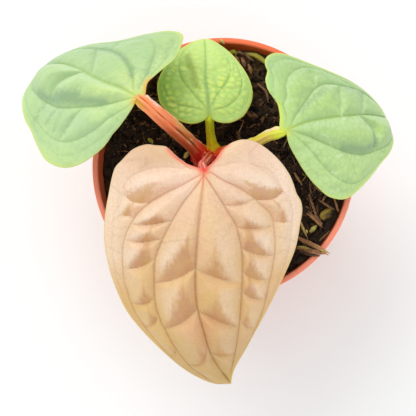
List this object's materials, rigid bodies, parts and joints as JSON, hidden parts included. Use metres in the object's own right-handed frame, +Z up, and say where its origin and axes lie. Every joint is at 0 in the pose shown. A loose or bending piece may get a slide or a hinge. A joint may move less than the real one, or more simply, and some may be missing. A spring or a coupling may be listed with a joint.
{
  "type": "potted anthurium",
  "caption": "Potted anthurium with heart-shaped quilted leaves on short stalks, growing in soil in a round plastic nursery pot.",
  "frame": {"origin": "centre of the pot's underside, on the flat pad it stands on", "axes": "+Z up the pot, +X to the right and +Y to the back as the plant is seen with its large leaf in front"},
  "size_m": [0.1518, 0.1396, 0.1244],
  "materials": {
    "pot_plastic": "satin terracotta-coloured plastic",
    "potting_soil": "damp peat and bark, rough",
    "red_stem": "smooth fleshy stem",
    "orange_stalk": "ribbed fleshy stalk",
    "olive_stalk": "smooth fleshy stalk",
    "yellow_stalk": "winged fleshy stalk",
    "pink_stalk": "smooth fleshy stalk",
    "pink_sheath": "papery scale leaf",
    "young_leaf": "quilted satin young leaf, peach",
    "green_leaf": "matte light green leaf",
    "netted_leaf": "matte green leaf with a net of veins",
    "dry_twig": "dry rough bark",
    "old_stalk": "dry cut stalk",
    "husk": "dry husk"
  },
  "bodies": {
    "root": {"pot": "pot_plastic", "soil": "potting_soil", "stem": "red_stem", "petiole_left": "orange_stalk", "petiole_back": "olive_stalk", "petiole_right": "yellow_stalk", "petiole_front": "pink_stalk", "sheath": "pink_sheath", "blade_front": "young_leaf", "blade_left": "green_leaf", "blade_right": "green_leaf", "blade_back": "netted_leaf", "twig": "dry_twig", "stub": "old_stalk", "seed": "husk"}
  },
  "joints": []
}
